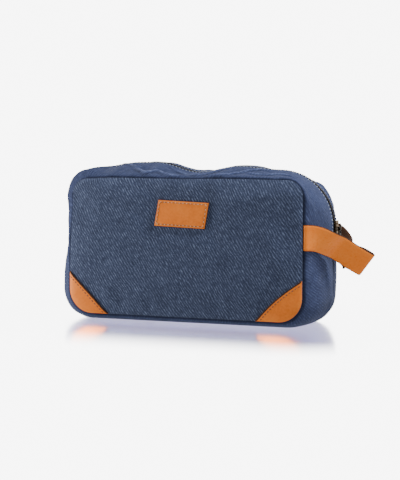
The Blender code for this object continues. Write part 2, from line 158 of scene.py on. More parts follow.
class Look(Tree):
    """A Principled material."""

    def __init__(self, name, roughness=0.6, **constants):
        self.material = bpy.data.materials.new(name)
        super().__init__(self.material)
        self.shader = self.nodes["Principled BSDF"]
        self.shader.inputs["Roughness"].default_value = roughness
        for socket, value in constants.items():
            self.shader.inputs[socket.replace("_", " ")].default_value = value

    def wave(self, across, period):
        """A sine from 0 to 1 with the period, in the unit of across."""
        sine = self.calc("SINE", self.mul(across, 2 * math.pi / period))
        return self.mul_add(sine, 0.5, 0.5)

    def place(self, *parts):
        return self.add("CombineXYZ", dict(enumerate(parts))).outputs[0]

    def cloud(self, where, size, detail=2.0):
        """Soft noise with features of the size, in millimetres."""
        return self.add("TexNoise", {"Vector": where, "Scale": 1 / size, "Detail": detail}).outputs["Fac"]

    def cells(self, where, scale, feature="F1"):
        """Distance in a pattern of cells, with so many cells to a millimetre."""
        node = self.add("TexVoronoi", {"Vector": where, "Scale": scale}, feature=feature)
        return node.outputs["Distance"]

    def attribute(self, name):
        return self.add("Attribute", attribute_name=name).outputs["Fac"]

    def ramp(self, factor, *stops):
        """A colour ramp of (position, (r, g, b)) stops."""
        node = self.add("ValToRGB", {"Fac": factor})
        marks = node.color_ramp.elements
        while len(marks) < len(stops):
            marks.new(0.5)
        for mark, (position, colour) in zip(marks, stops):
            mark.position = position
            mark.color = (*colour, 1.0)
        return node.outputs["Color"]

    def bump(self, height, distance, strength):
        inputs = {"Height": height, "Distance": distance * MM, "Strength": strength}
        self.feed(self.shader.inputs["Normal"], self.add("Bump", inputs).outputs["Normal"])

    def colour(self, value):
        self.feed(self.shader.inputs["Base Color"], value)

    def rough(self, value):
        self.feed(self.shader.inputs["Roughness"], value)

    def cloth_place(self):
        """The place on the cloth in millimetres, from the piece's UV map."""
        node = self.add("UVMap", uv_map="cloth")
        parts = self.add("SeparateXYZ", {"Vector": node.outputs["UV"]})
        return node.outputs["UV"], parts.outputs["X"], parts.outputs["Y"]

    def space_place(self):
        """The place in space in millimetres, for pieces with no cloth map."""
        return self.vector("MULTIPLY", self.add("TexCoord").outputs["Object"], (1 / MM,) * 3)


# The canvas's diagonal lines run down to the right at 57 degrees: parts of u and v across them.
TWILL_ACROSS = (0.839, 0.545)
TWILL_PERIOD = 2.4
THREAD_PERIOD = 0.82
# How strongly the rolls' crests are painted pale and their hollows dark: painted highlight and shade.
CREST_LIGHT_AND_SHADE = 0.5


def canvas_look(name, deep, middle, pale, twill):
    """Heavy navy canvas: a fine plain weave under steep diagonal lines of paler flecks."""
    look = Look(name, 0.92, Specular_IOR_Level=0.1, Sheen_Weight=0.06, Sheen_Roughness=0.5)
    where, u, v = look.cloth_place()
    level, steep = TWILL_ACROSS
    across = look.mul_add(u, level, look.mul(v, steep))
    along = look.mul_add(u, -steep, look.mul(v, level))
    drift = look.mul(look.cloud(where, 26.0), 6.0)
    drift = look.mul_add(look.cloud(where, 5.0), 1.5, drift)
    lines = look.wave(look.calc("ADD", across, drift), TWILL_PERIOD)
    slub = look.cloud(look.place(across, look.mul(along, 0.12), 0.0), 0.55, 2)
    fleck = look.range(slub, 0.42, 0.72)
    thread = look.cloud(look.place(look.mul(u, 0.3), v, 4.0), 0.7, 2)
    warp = look.wave(u, THREAD_PERIOD)
    weft = look.wave(v, THREAD_PERIOD)
    weave = look.mul(look.calc("SUBTRACT", warp, 0.5), look.calc("SUBTRACT", weft, 0.5))
    flecked = look.mul(fleck, look.mul_add(lines, 0.75, 0.25))
    shade = look.mul_add(flecked, 0.58 * twill, 0.02)
    shade = look.mul_add(lines, 0.13 * twill, shade)
    shade = look.mul_add(thread, 0.40, look.calc("SUBTRACT", shade, 0.06))
    shade = look.mul_add(weave, 0.5, shade)
    shade = look.mul_add(look.cloud(where, 17.0, 3), 0.22, shade)
    # Painted light: the crests of the soft rolls are painted pale as a highlight, in patches, and the
    # hollows beside them are painted darker as shade.
    highlight_patches = look.range(look.cloud(where, 9.0, 3), 0.25, 0.55)
    shade = look.mul_add(look.mul(look.attribute("crest"), highlight_patches), CREST_LIGHT_AND_SHADE, shade)
    # Painted shade: the canvas is darkened in the valley beside a seam, where shade falls, down to the
    # ramp's black.
    shade = look.mul(shade, look.range(look.attribute("seam"), 0.1, 0.95, 0.16, 1.0))
    black = tuple(channel * 0.25 for channel in deep)
    look.colour(look.ramp(shade, (0.0, black), (0.16, deep), (0.42, middle), (1.0, pale)))
    look.bump(look.mul_add(weave, 1.4, look.mul(flecked, 0.5)), 0.2, 0.7)
    return look.material


def plain_cloth_look(name, dark, pale, period, roughness, sheen=0.1):
    """A fine plain-woven or ribbed cloth, for lining, tape and binding."""
    look = Look(name, roughness, Specular_IOR_Level=0.25, Sheen_Weight=sheen)
    where, u, v = look.cloth_place()
    ribs = look.wave(v, period)
    picks = look.wave(u, period * 0.8)
    weave = look.mul_add(picks, 0.4, look.mul(ribs, 0.6))
    shade = look.mul_add(look.cloud(where, 9.0), 0.4, look.mul(weave, 0.6))
    look.colour(look.ramp(shade, (0.15, dark), (0.85, pale)))
    look.bump(weave, 0.12, 0.6)
    return look.material


def foam_look():
    look = Look("interlining_foam", 0.95, Specular_IOR_Level=0.1)
    where, _, _ = look.cloth_place()
    cells = look.cells(where, 1.4)
    look.colour(look.ramp(cells, (0.0, (0.30, 0.30, 0.31)), (0.6, (0.62, 0.62, 0.63))))
    look.bump(cells, 0.3, 0.7)
    return look.material


def leather_look(name, deep, body, bright, roughness, grain):
    """Smooth vegetable-tanned leather: broad patches of colour, fine pores, soft gloss."""
    look = Look(name, roughness, Specular_IOR_Level=0.4)
    look.shader.inputs["Specular Tint"].default_value = (1.0, 0.5, 0.22, 1.0)
    where = look.space_place()
    broad = look.cloud(where, 26.0, 4)
    fine = look.cloud(where, 2.2, 4)
    pores = look.cells(where, 1.7)
    creases = look.cells(where, 0.45, "DISTANCE_TO_EDGE")
    shade = look.mul_add(broad, 0.65, look.mul(fine, 0.35))
    look.colour(look.ramp(shade, (0.30, deep), (0.50, body), (0.72, bright)))
    look.rough(look.range(fine, 0.3, 0.75, roughness - 0.06, roughness + 0.10))
    crease = look.range(creases, 0.0, 0.06)
    height = look.mul_add(pores, 0.5, look.mul_add(crease, 0.3, fine))
    look.bump(height, 0.10, grain)
    return look.material


def cut_edge_look():
    # The dark edge stain is also dark enough to paint the shade along the corner patches' long edges.
    look = Look("leather_cut_edge", 0.8, Specular_IOR_Level=0.2)
    where = look.space_place()
    stain = look.cloud(where, 1.1, 4)
    look.colour(look.ramp(stain, (0.3, (0.022, 0.009, 0.005)), (0.75, (0.085, 0.032, 0.013))))
    look.bump(look.cloud(where, 0.5, 3), 0.15, 0.6)
    return look.material


def flesh_side_look():
    """The rough dark brown inner side of the hand strap."""
    look = Look("leather_flesh_side", 0.9, Specular_IOR_Level=0.1, Sheen_Weight=0.1)
    where = look.space_place()
    fibres = look.cloud(where, 1.6, 6)
    look.colour(look.ramp(fibres, (0.3, (0.035, 0.014, 0.006)), (0.75, (0.12, 0.05, 0.02))))
    look.bump(fibres, 0.25, 0.8)
    return look.material


def metal_look(name, dark, worn, roughness=0.34):
    """Antique bronze: dark in its hollows and rubbed bright on its edges."""
    look = Look(name, roughness, Metallic=1.0)
    where = look.space_place()
    edges = look.range(look.add("NewGeometry").outputs["Pointiness"], 0.58, 0.74)
    spots = look.cloud(where, 1.3, 5)
    shade = look.calc("ADD", look.mul(edges, 0.8), look.mul(spots, 0.35))
    look.colour(look.ramp(shade, (0.25, dark), (0.75, worn)))
    look.rough(look.range(spots, 0.3, 0.7, roughness - 0.1, roughness + 0.14))
    look.bump(spots, 0.05, 0.4)
    return look.material


def thread_look(name, colour):
    look = Look(name, 0.75, Specular_IOR_Level=0.3, Sheen_Weight=0.2)
    where = look.space_place()
    strands = look.cloud(where, 0.35, 2)
    darker = tuple(channel * 0.55 for channel in colour)
    look.colour(look.ramp(strands, (0.3, darker), (0.7, colour)))
    look.bump(strands, 0.1, 0.7)
    return look.material


# Each look's colours run from dark to pale.
CANVAS_FRONT = canvas_look(
    "canvas_front", (0.021, 0.027, 0.050), (0.042, 0.054, 0.101), (0.170, 0.212, 0.33), 1.0
)
CANVAS_GUSSET = canvas_look(
    "canvas_gusset", (0.021, 0.028, 0.062), (0.041, 0.053, 0.116), (0.145, 0.185, 0.35), 0.55
)
LINING_LOOK = plain_cloth_look("lining_nylon", (0.012, 0.014, 0.022), (0.035, 0.04, 0.06), 0.6, 0.55, 0.2)
TAPE_LOOK = plain_cloth_look("zip_tape_cloth", (0.008, 0.009, 0.014), (0.03, 0.033, 0.045), 0.9, 0.85)
BINDING_LOOK = plain_cloth_look("seam_binding_tape", (0.008, 0.009, 0.014), (0.03, 0.032, 0.042), 1.2, 0.8)
FOAM_LOOK = foam_look()
STRAP_LOOK = leather_look(
    "strap_leather", (0.70, 0.150, 0.010), (0.80, 0.195, 0.020), (0.86, 0.245, 0.038), 0.30, 0.2
)
TRIM_LOOK = leather_look(
    "trim_leather", (0.62, 0.135, 0.014), (0.76, 0.185, 0.022), (0.84, 0.240, 0.036), 0.48, 0.5
)
EDGE_LOOK = cut_edge_look()
FLESH_LOOK = flesh_side_look()
TEETH_LOOK = metal_look("zip_teeth_metal", (0.012, 0.011, 0.010), (0.13, 0.115, 0.095), 0.45)
BRONZE_LOOK = metal_look("slider_bronze", (0.016, 0.010, 0.006), (0.34, 0.21, 0.09))
PALE_THREAD = thread_look("pale_thread", (0.74, 0.42, 0.20))
BROWN_THREAD = thread_look("brown_thread", (0.20, 0.075, 0.022))
NAVY_THREAD = thread_look("navy_thread", (0.50, 0.56, 0.68))
# Painted shade: the near-black look of the needle holes stands in for the shade inside them.
HOLE_SHADE_LOOK = thread_look("needle_hole_shade", (0.02, 0.010, 0.006))


# ---- shapes


def smooth(part):
    part = min(1.0, max(0.0, part))
    return part * part * (3 - 2 * part)


def grid_faces(rows, count, closed=False):
    """Faces of a grid with count points a row. A closed one joins the end of each row to its start."""
    faces = []
    for row in range(0, (rows - 1) * count, count):
        for column in range(count if closed else count - 1):
            after = (column + 1) % count
            faces.append((row + column, row + after, row + count + after, row + count + column))
    return faces


def running(line):
    """The distance along a line of points, at each point."""
    run = [0.0]
    for first, second in zip(line, line[1:]):
        run.append(run[-1] + math.dist(first, second))
    return run


def find_part(run, distance):
    """Which segment of a line lies at the distance along it, and how much of that segment is passed."""
    place = 0
    while place < len(run) - 2 and run[place + 1] < distance:
        place += 1
    return place, (distance - run[place]) / max(1e-6, run[place + 1] - run[place])


def piece(name, points, faces, looks, cloth=None, seam=None, crest=None, closed=False, settle=True):
    """A mesh object from points in millimetres.

    cloth gives each point's place on the flat cloth, seam its distance from the seam, and crest is 1
    along the crest of a roll and below 0 in the hollow beside it. The canvas look paints shade beside the
    seam from seam, and a highlight on the crest and shade in the hollow from crest.
    """
    if settle:
        points = [settled(Vector(point)) for point in points]
    mesh = bpy.data.meshes.new(name)
    mesh.from_pydata([Vector(point) * MM for point in points], [], faces)
    if cloth:
        layer = mesh.uv_layers.new(name="cloth")
        for loop in mesh.loops:
            layer.data[loop.index].uv = cloth[loop.vertex_index]
    for label, values in (("seam", seam), ("crest", crest)):
        if values:
            mesh.attributes.new(label, "FLOAT", "POINT").data.foreach_set("value", values)
    for look in looks:
        mesh.materials.append(look)
    made = bpy.data.objects.new(name, mesh)
    bpy.context.scene.collection.objects.link(made)
    tidy = bmesh.new()
    tidy.from_mesh(mesh)
    bmesh.ops.remove_doubles(tidy, verts=tidy.verts, dist=0.02 * MM)
    if closed:
        bmesh.ops.recalc_face_normals(tidy, faces=tidy.faces)
    tidy.to_mesh(mesh)
    tidy.free()
    mesh.shade_smooth()
    return made


def face_outwards(made, outward):
    """Turn an open sheet so that its normals point the way that outward(place) gives."""
    mesh = made.data
    agree = sum(face.normal.dot(outward(face.center)) * face.area for face in mesh.polygons)
    if agree < 0:
        mesh.flip_normals()


def modify(made, kind, **settings):
    """Add a modifier with the settings."""
    added = made.modifiers.new(kind.title(), kind)
    for key, value in settings.items():
        setattr(added, key, value)
    return added


def settle_modifiers(made, sharp):
    """Replace the mesh by what its modifiers make of it. Edges over sharp degrees stay sharp."""
    graph = bpy.context.evaluated_depsgraph_get()
    shown = made.evaluated_get(graph)
    mesh = bpy.data.meshes.new_from_object(shown, preserve_all_data_layers=True, depsgraph=graph)
    made.modifiers.clear()
    made.data = mesh
    mesh.set_sharp_from_angle(angle=math.radians(sharp))


def thicken(made, thickness, smoother=False):
    """Give a sheet its thickness, towards its inner side."""
    if smoother:
        modify(made, "SUBSURF", levels=1, render_levels=1, boundary_smooth="PRESERVE_CORNERS")
    modify(made, "SOLIDIFY", thickness=thickness * MM, offset=-1.0)
    settle_modifiers(made, 50)


def simulate_cloth(made, hold, slack):
    """Let the cloth swell and rumple between what holds it. hold(place) is 1 where it is sewn down."""
    start = [vertex.co.copy() for vertex in made.data.vertices]
    group = made.vertex_groups.new(name="held")
    for vertex in made.data.vertices:
        group.add([vertex.index], hold(vertex.co / MM), "REPLACE")
    cloth = modify(made, "CLOTH")
    for key, value in CLOTH_FEEL.items():
        setattr(cloth.settings, key, value)
    cloth.settings.vertex_group_mass = "held"
    cloth.settings.use_pressure = True
    cloth.settings.uniform_pressure_force = CLOTH_PRESSURE
    cloth.settings.shrink_min = -slack
    cloth.settings.effector_weights.gravity = 0
    cloth.point_cache.frame_start = 1
    cloth.point_cache.frame_end = CLOTH_FRAMES
    scene = bpy.context.scene
    for step in range(1, CLOTH_FRAMES + 1):
        scene.frame_set(step)
    graph = bpy.context.evaluated_depsgraph_get()
    result = [vertex.co.copy() for vertex in made.evaluated_get(graph).data.vertices]
    made.modifiers.remove(cloth)
    scene.frame_set(1)
    made.vertex_groups.clear()
    for vertex, before, after in zip(made.data.vertices, start, result):
        move = after - before
        if move.length > CLOTH_CAP * MM:
            move *= CLOTH_CAP * MM / move.length
        vertex.co = before + move


def swell(y):
    """0 at a seam and 1 at mid depth, along a circle."""
    radius = (SEAM_Y**2 + SIDE_BULGE**2) / (2 * SIDE_BULGE)
    return (math.sqrt(radius**2 - y**2) - radius + SIDE_BULGE) / SIDE_BULGE


def top_wave(x, y):
    """Height added to the soft top: a hump each side of a dip."""
    part = abs(x) / (SEAM_HALF + SIDE_BULGE - SEAM_TOP_RADIUS - TOP_RADIUS_GAIN)
    if part >= 1.0:
        return 0.0
    hump = RIGHT_HUMP if x > 0 else LEFT_HUMP
    rise = hump * 0.5 * (1 - math.cos(2 * math.pi * part)) if part > 0.5 else hump
    dip = (hump + MIDDLE_DIP) * 0.5 * (1 + math.cos(2 * math.pi * part)) if part < 0.5 else 0.0
    return (rise - dip) * (1 - (y / SEAM_Y) ** 2)


def settled(place):
    """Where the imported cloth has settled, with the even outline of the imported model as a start.

    The top is fuller towards its left, its back right corner slumps, the gusset rolls out round the
    front panel's upper left corner, the lower left side bulges, and the right side and the upper left
    are pressed in.
    """
    x, y, z = place
    between_seams = max(0.0, 1 - (y / SEAM_Y) ** 2)
    hump = SHOULDER_HUMP * math.exp(-(((x - SHOULDER_HUMP_X) / SHOULDER_HUMP_WIDTH) ** 2))
    slump = smooth((y + 2) / 30) * smooth((x - 45) / 50) * smooth((z - 95) / 35)
    seam = smooth((-y - 39.5) / 4.5)
    rolled = seam * smooth((-x - 78) / 35) * smooth((z - 55) / 75)
    lowered = 1.6 * smooth((-x - 70) / 45) * smooth((z - 105) / 30)
    lowered += 1.2 * smooth((z - 120) / 18) * (1 - smooth((x + 10) / 60))
    roll = smooth((-y - 6) / 16) * smooth((44.4 + y) / 5)
    roll *= smooth((-x - 84) / 22) * smooth((z - 100) / 25)
    bulge = smooth((-x - 95) / 30) * (1 - smooth((z - 30) / 35)) * smooth(z / 6) * between_seams
    rise = hump * between_seams * smooth((z - 95) / 30) + 3.4 * roll - 7.0 * slump - seam * lowered
    low_right = smooth((x - 112) / 26) * (1 - smooth((z - 64) / 14)) * smooth((y + 34) / 30) * smooth(z / 8)
    back_right = smooth((x - 100) / 36) * smooth((y - 5) / 12) * smooth((z - 60) / 14) * (1 - slump)
    high_left = smooth((-x - 104) / 22) * smooth((z - 48) / 40) * smooth((10 - y) / 20)
    pressed = (2.6 * low_right + 3.0 * back_right - 2.6 * high_left) * smooth(between_seams * 2)
    return Vector((x + 3.8 * rolled - 1.4 * roll - 3.0 * slump - 3.5 * bulge - pressed, y, z + rise))


def section(y, inset):
    """Half width, top, base and the two corner radii of the bag's outline at depth y."""
    grown = swell(y)
    rise = max(0.0, abs(y) - FLAT_HALF_DEPTH) / (SEAM_Y - FLAT_HALF_DEPTH)
    return (
        SEAM_HALF + SIDE_BULGE * grown - inset,
        SEAM_TOP + TOP_BULGE * grown - inset,
        SEAM_BASE * rise**2 + inset,
        SEAM_TOP_RADIUS + TOP_RADIUS_GAIN * grown - inset,
        SEAM_BASE_RADIUS + BASE_RADIUS_GAIN * grown - inset,
    )


def arc(centre, radius, start, steps):
    """A quarter circle from the start angle in degrees, without its last point."""
    turns = [math.radians(start + 90 * step / steps) for step in range(steps)]
    return [(centre[0] + radius * math.cos(turn), centre[1] + radius * math.sin(turn)) for turn in turns]


def straight(start, end, steps):
    """From start towards end, without the last point."""
    parts = [step / steps for step in range(steps)]
    return [(start[0] + (end[0] - start[0]) * t, start[1] + (end[1] - start[1]) * t) for t in parts]


# How many steps there are along each part of an outline.
SIDE_STEPS = 8
TOP_ARC_STEPS = 18
TOP_STEPS = 56
LOW_SIDE_STEPS = 14
BASE_ARC_STEPS = 12
BASE_STEPS = 40


def over_top(y, inset, low=ZIP_END_Z):
    """The outline from the low point on the right, over the top, to the low point on the left."""
    half, top, _, upper, _ = section(y, inset)
    points = straight((half, low), (half, top - upper), SIDE_STEPS)
    points += arc((half - upper, top - upper), upper, 0, TOP_ARC_STEPS)
    level = straight((half - upper, top), (upper - half, top), TOP_STEPS)
    points += [(x, z + top_wave(x, y)) for x, z in level]
    points += arc((upper - half, top - upper), upper, 90, TOP_ARC_STEPS)
    points += straight((-half, top - upper), (-half, low), SIDE_STEPS)
    return points + [(-half, low)]


def round_base(half, base, lower, steps):
    """The base from the left to the right with its two round corners."""
    points = arc((lower - half, base + lower), lower, 180, BASE_ARC_STEPS)
    points += straight((lower - half, base), (half - lower, base), steps)
    return points + arc((half - lower, base + lower), lower, 270, BASE_ARC_STEPS)


def under_base(y, inset):
    """The outline from the zip's end on the left, under the base, to its end on the right."""
    half, _, base, _, lower = section(y, inset)
    points = straight((-half, ZIP_END_Z), (-half, base + lower), LOW_SIDE_STEPS)
    points += round_base(half, base, lower, BASE_STEPS)
    points += straight((half, base + lower), (half, ZIP_END_Z), LOW_SIDE_STEPS)
    return points + [(half, ZIP_END_Z)]


def all_round(y, inset):
    """The closed outline, for the panels."""
    half, _, base, _, lower = section(y, inset)
    return over_top(y, inset, base + lower)[:-1] + round_base(half, base, lower, TOP_STEPS)


def strip(name, path, rows, looks, shift=None):
    """A sheet along a path, one line of points for each (depth, inset) row."""
    lines = [path(y, inset) for y, inset in rows]
    count = len(lines[0])
    run = running(lines[len(lines) // 2])
    points = []
    cloth = []
    seam = []
    crest = []
    rise = 0.0
    for place, ((y, inset), line) in enumerate(zip(rows, lines)):
        if place:
            rise += math.hypot(y - rows[place - 1][0], inset - rows[place - 1][1])
        for column, (x, z) in enumerate(line):
            before = line[max(0, column - 1)]
            after = line[min(count - 1, column + 1)]
            outward = Vector((after[1] - before[1], 0.0, before[0] - after[0])).normalized()
            lift = shift((x, y, z), run[column]) if shift else 0.0
            points.append(Vector((x, y, z)) + outward * lift)
            cloth.append((run[column], rise))
            # The seam distance drives the painted shade beside the seam in the canvas look.
            seam.append(max(0.0, SEAM_EDGE_Y - abs(y)))
            crest.append(roll_crest(x, y) if shift is top_shift else 0.0)
    made = piece(name, points, grid_faces(len(rows), count), looks, cloth, seam, crest)
    face_outwards(made, lambda place: Vector((place.x, 0.0, place.z - MIDDLE_Z * MM)))
    return made


# Soft rolls in the cloth of the top, in front of the zip: points along each, its height and its width.
TOP_ROLLS = (
    (((-60, -24), (-50, -34), (-42, -40), (-32, -34), (-17, -41), (0, -42)), 2.8, 2.0),
    (((-80, -8), (-66, -18), (-56, -27), (-46, -26)), 2.2, 2.2),
    (((-24, -17), (-8, -27), (3, -38), (14, -39), (26, -28), (40, -18)), 2.9, 2.0),
    (((24, -42), (40, -40), (50, -33), (56, -23), (66, -17), (78, -19)), 3.0, 2.0),
    (((60, -33), (76, -35), (91, -31), (106, -33)), 2.2, 1.8),
)


def distance_to_run(x, y, run):
    """Distance from (x, y) to a line through the points of run."""
    best = 1e9
    for (ax, ay), (bx, by) in zip(run, run[1:]):
        length = (bx - ax) ** 2 + (by - ay) ** 2
        part = min(1.0, max(0.0, ((x - ax) * (bx - ax) + (y - ay) * (by - ay)) / length))
        best = min(best, math.hypot(x - ax - part * (bx - ax), y - ay - part * (by - ay)))
    return best


def roll_crest(x, y):
    """Up to 1 on the crest of the nearest roll, below 0 in the hollow beside it, and 0 at its ends."""
    nearest = 9.0
    fade = 0.0
    for run, height, width in TOP_ROLLS:
        away = distance_to_run(x, y, run) / width
        if away < nearest:
            ends = min(math.dist((x, y), run[0]), math.dist((x, y), run[-1]))
            nearest = away
            fade = smooth(ends / 10.0) * height / 3.0
    return fade * (math.exp(-((nearest / 0.65) ** 2)) - 0.5 * math.exp(-(((nearest - 1.5) / 0.7) ** 2)))


def seam_pucker(y, run):
    """Small puckers in the gusset beside a seam."""
    near = math.exp(-(SEAM_Y - abs(y)) / 7.0)
    return near * 0.9 * noise.noise(Vector((run / 6.0, y / 30.0, 3.0)))


def slow_ripple(y, run):
    return 0.7 * noise.noise(Vector((run / 34.0, y / 24.0, 7.0)))


def top_shift(place, run):
    """How far the zip gusset's cloth stands off its smooth shape."""
    x, y, _ = place
    lift = seam_pucker(y, run)
    held = smooth((abs(y) - 5.5) / 6.0) * smooth((SEAM_Y - abs(y)) / 5.0)
    lift += slow_ripple(y, run) * held
    if y < 0:
        for points, height, width in TOP_ROLLS:
            away = distance_to_run(x, y, points) / width
            lift += held * height * (math.exp(-(away**2)) - 0.35 * math.exp(-((away / 2.2) ** 2)))
    else:
        lift += held * 0.9 * noise.noise(Vector((run / 20.0, y / 15.0, 11.0)))
    return lift


def base_shift(place, run):
    """As top_shift, for the sides and base. The underside stays flat."""
    _, y, z = place
    beside = smooth((SEAM_Y - abs(y)) / 5.0)
    return smooth((z - 4.0) / 14.0) * (seam_pucker(y, run) + beside * slow_ripple(y, run))


# Rows of a canvas strip: its edge turned down into the seam, its round shoulder, and across. The cloth
# starts to show at SEAM_EDGE_Y.
SEAM_EDGE_Y = 44.7
SHOULDER = ((44.3, 3.2), (44.4, 1.9), (44.3, 0.7), (44.0, -0.1), (43.3, -0.65), (42.0, -0.8))
ZIP_EDGE = ((4.6, 1.5), (4.5, 0.7), (4.8, 0.15), (5.6, -0.1), (6.8, 0.0))


# The rows between: where they start, and for the zip gusset how many there are and how far apart.
ROWS_FROM = 40.0
ZIP_ROWS = 25
ZIP_ROW_SPACE = 1.225
BASE_ROWS = 24


def zip_strip_rows(side):
    inner = [(ROWS_FROM - ZIP_ROW_SPACE * step, -0.4 * math.exp(-step / 2)) for step in range(ZIP_ROWS)]
    rows = [*SHOULDER, *inner, *reversed(ZIP_EDGE)]
    return [(side * y, inset) for y, inset in rows]


def flat_rows(side, start, end, inset, steps):
    return [(side * (start + (end - start) * step / steps), inset) for step in range(steps + 1)]


def panel_depth(distance):
    """Depth of a panel's face at a distance inside its seam: a soft padded edge, then nearly flat."""
    return SEAM_Y + PANEL_PUFF * (1 - math.exp(-distance / PUFF_LENGTH))


PANEL_EDGE = ((2.9, 45.0), (1.7, 44.9), (0.95, 45.2), (0.6, 45.8), (0.65, 46.3))
PANEL_RINGS = (1.0, 1.7, 3.0, 4.8, 7.0, 9.5, 12.5)
PANEL_CENTRE_HALF = 58.0
PANEL_FILL = 15


def panel_sheet(name, side, looks, edge, rings, depth):
    """A panel's face as rings that close on a line along its middle."""
    profile = [*edge, *((inset, depth(inset)) for inset in rings)]
    lines = [[(x, side * deep, z) for x, z in all_round(SEAM_Y, inset)] for inset, deep in profile]
    points = []
    cloth = []
    seam = []
    last = lines[-1]
    middle = (SEAM_TOP + SEAM_BASE) / 2
    reach = max(x for x, _, _ in last)
    for step in range(1, PANEL_FILL + 1):
        part = step / PANEL_FILL
        line = []
        for x, _, z in last:
            goal = Vector((x / reach * PANEL_CENTRE_HALF, middle))
            spot = Vector((x, z)).lerp(goal, part)
            line.append((spot.x, side * depth(seam_distance(spot.x, spot.y)), spot.y))
        lines.append(line)
    for line in lines:
        points += line
        cloth += [(x, z) for x, _, z in line]
        # The seam distance drives the painted shade beside the seam in the canvas look; rows turned into
        # the seam get 0, the darkest painted shade.
        seam += [max(0.0, seam_distance(x, z) - 0.2) if abs(y) > SEAM_Y else 0.0 for x, y, z in line]
    made = piece(name, points, grid_faces(len(lines), len(last), closed=True), looks, cloth, seam)
    face_outwards(made, lambda place: Vector((0.0, side, 0.0)))
    return made


def seam_distance(x, z):
    """How far (x, z) lies inside the panel's outline."""
    across = SEAM_HALF - abs(x)
    upper = z > (SEAM_TOP + SEAM_BASE) / 2
    upwards = SEAM_TOP - z if upper else z - SEAM_BASE
    radius = SEAM_TOP_RADIUS if upper else SEAM_BASE_RADIUS
    if across < radius and upwards < radius:
        return radius - math.hypot(radius - across, radius - upwards)
    return min(across, upwards)


# ---- the bag's cloth


STRAP_ROOT_Z = 87.0
LABEL_LEAN = 4.5
LABEL_DROP = 1.7
LABEL_FACE = -label_low.y
PATCH_LEG_LEFT = 40.0
PATCH_LEG_RIGHT = 45.5
PATCH_RISE_RIGHT = 39.5
PATCH_BOW_RIGHT = 2.5
# Width of the dark band along a corner patch's long edge: edge stain, and painted shade that stands in for
# the shadow along that edge.
INKED_AND_SHADED_EDGE = 1.3


def under_trim(place):
    """1 where the front panel is held by the label or a corner patch."""
    margin = 5.0
    across = min(place.x - label_low.x, label_high.x - place.x)
    upwards = min(place.z - label_low.z, label_high.z - place.z)
    label = smooth((min(across, upwards) + margin) / margin)
    leg = PATCH_LEG_RIGHT if place.x > 0 else PATCH_LEG_LEFT
    corner = (leg - (SEAM_HALF - abs(place.x)) - (place.z - SEAM_BASE)) / math.sqrt(2)
    return max(label, smooth((corner + 2 * margin) / margin))


def canvas_panel(place, side):
    made = panel_sheet(f"{place}_canvas", side, [CANVAS_FRONT], PANEL_EDGE, PANEL_RINGS, panel_depth)

    def hold(spot):
        edge = 1 - smooth((seam_distance(spot.x, spot.z) - 1.5) / 5.0)
        return max(edge, under_trim(spot)) if side < 0 else edge

    simulate_cloth(made, hold, PANEL_SLACK)
    thicken(made, CANVAS, smoother=True)
    return made


def canvas_strip(name, path, rows, shift):
    made = strip(name, path, rows, [CANVAS_GUSSET], shift)
    ends = {abs(rows[0][0]), abs(rows[-1][0])}
    edge_to_zip = min(ends) > 1.0 and min(ends) < 10.0

    def hold(spot):
        seam = 1 - smooth((SEAM_Y - abs(spot.y) - 2.5) / 5.0)
        zipped = 1 - smooth((abs(spot.y) - 6.0) / 5.0) if edge_to_zip else 0.0
        cut = 1 - smooth((abs(spot.z - ZIP_END_Z) - 1.0) / 7.0)
        strap = smooth((spot.x - 112.0) / 6.0) * (1 - smooth((abs(spot.z - STRAP_ROOT_Z) - 17.0) / 6.0))
        resting = 1 - smooth((spot.z - 1.5) / 6.0)
        crease = min(1.0, 1.5 * roll_crest(spot.x, spot.y)) if edge_to_zip and spot.y < 0 else 0.0
        return max(seam, zipped, cut, strap, resting, crease)

    simulate_cloth(made, hold, STRIP_SLACK)
    thicken(made, CANVAS, smoother=True)
    return made


def fold_back(made):
    """Cloth of the back: its placement is baked into its mesh."""
    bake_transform(made)


def on_bag(made, slot, *nodes):
    """A piece that rides on the bag, in place of the nodes."""
    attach(made, "bag")
    if nodes:
        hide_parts(*nodes)


def on_side(made, side, slot, node=None, back_parts=()):
    """A piece of the front or back. At the back, one cloth stands in for all of its node's parts."""
    if side < 0:
        on_bag(made, slot, *([f"front_{node}"] if node else []))
        return
    fold_back(made)
    if node:
        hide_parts(*(f"back_{node}{part}" for part in back_parts))


PANEL_PARTS = ("_lower", "_upper")
ZIP_PARTS = ("", "_left_end", "_right_end")


def make_canvas():
    pieces = []
    for place, side in SIDES:
        pieces.append(canvas_panel(place, side))
        on_side(pieces[-1], side, "canvas", "panel", PANEL_PARTS)
    rows = [(-y, inset) for y, inset in SHOULDER]
    for step in range(BASE_ROWS + 1):
        y = -ROWS_FROM + 2 * ROWS_FROM * step / BASE_ROWS
        rows.append((y, -0.4 * math.exp(-min(step, BASE_ROWS - step))))
    rows += reversed(SHOULDER)
    pieces.append(canvas_strip("base_canvas", under_base, rows, base_shift))
    on_bag(pieces[-1], "canvas", "side_base_gusset")
    for place, side in SIDES:
        pieces.append(canvas_strip(f"zip_canvas_{place}", over_top, zip_strip_rows(side), top_shift))
        on_side(pieces[-1], side, "canvas", "zip_gusset", ZIP_PARTS)


# Insets of the inner layers' outlines from the seam, and the depths at which their edges lie.
INNER_RINGS = (5.6, 7.5, 10.0, 14.0)
BINDING_EDGES = (40.7, 33.0)
LINING_EDGE = 44.2


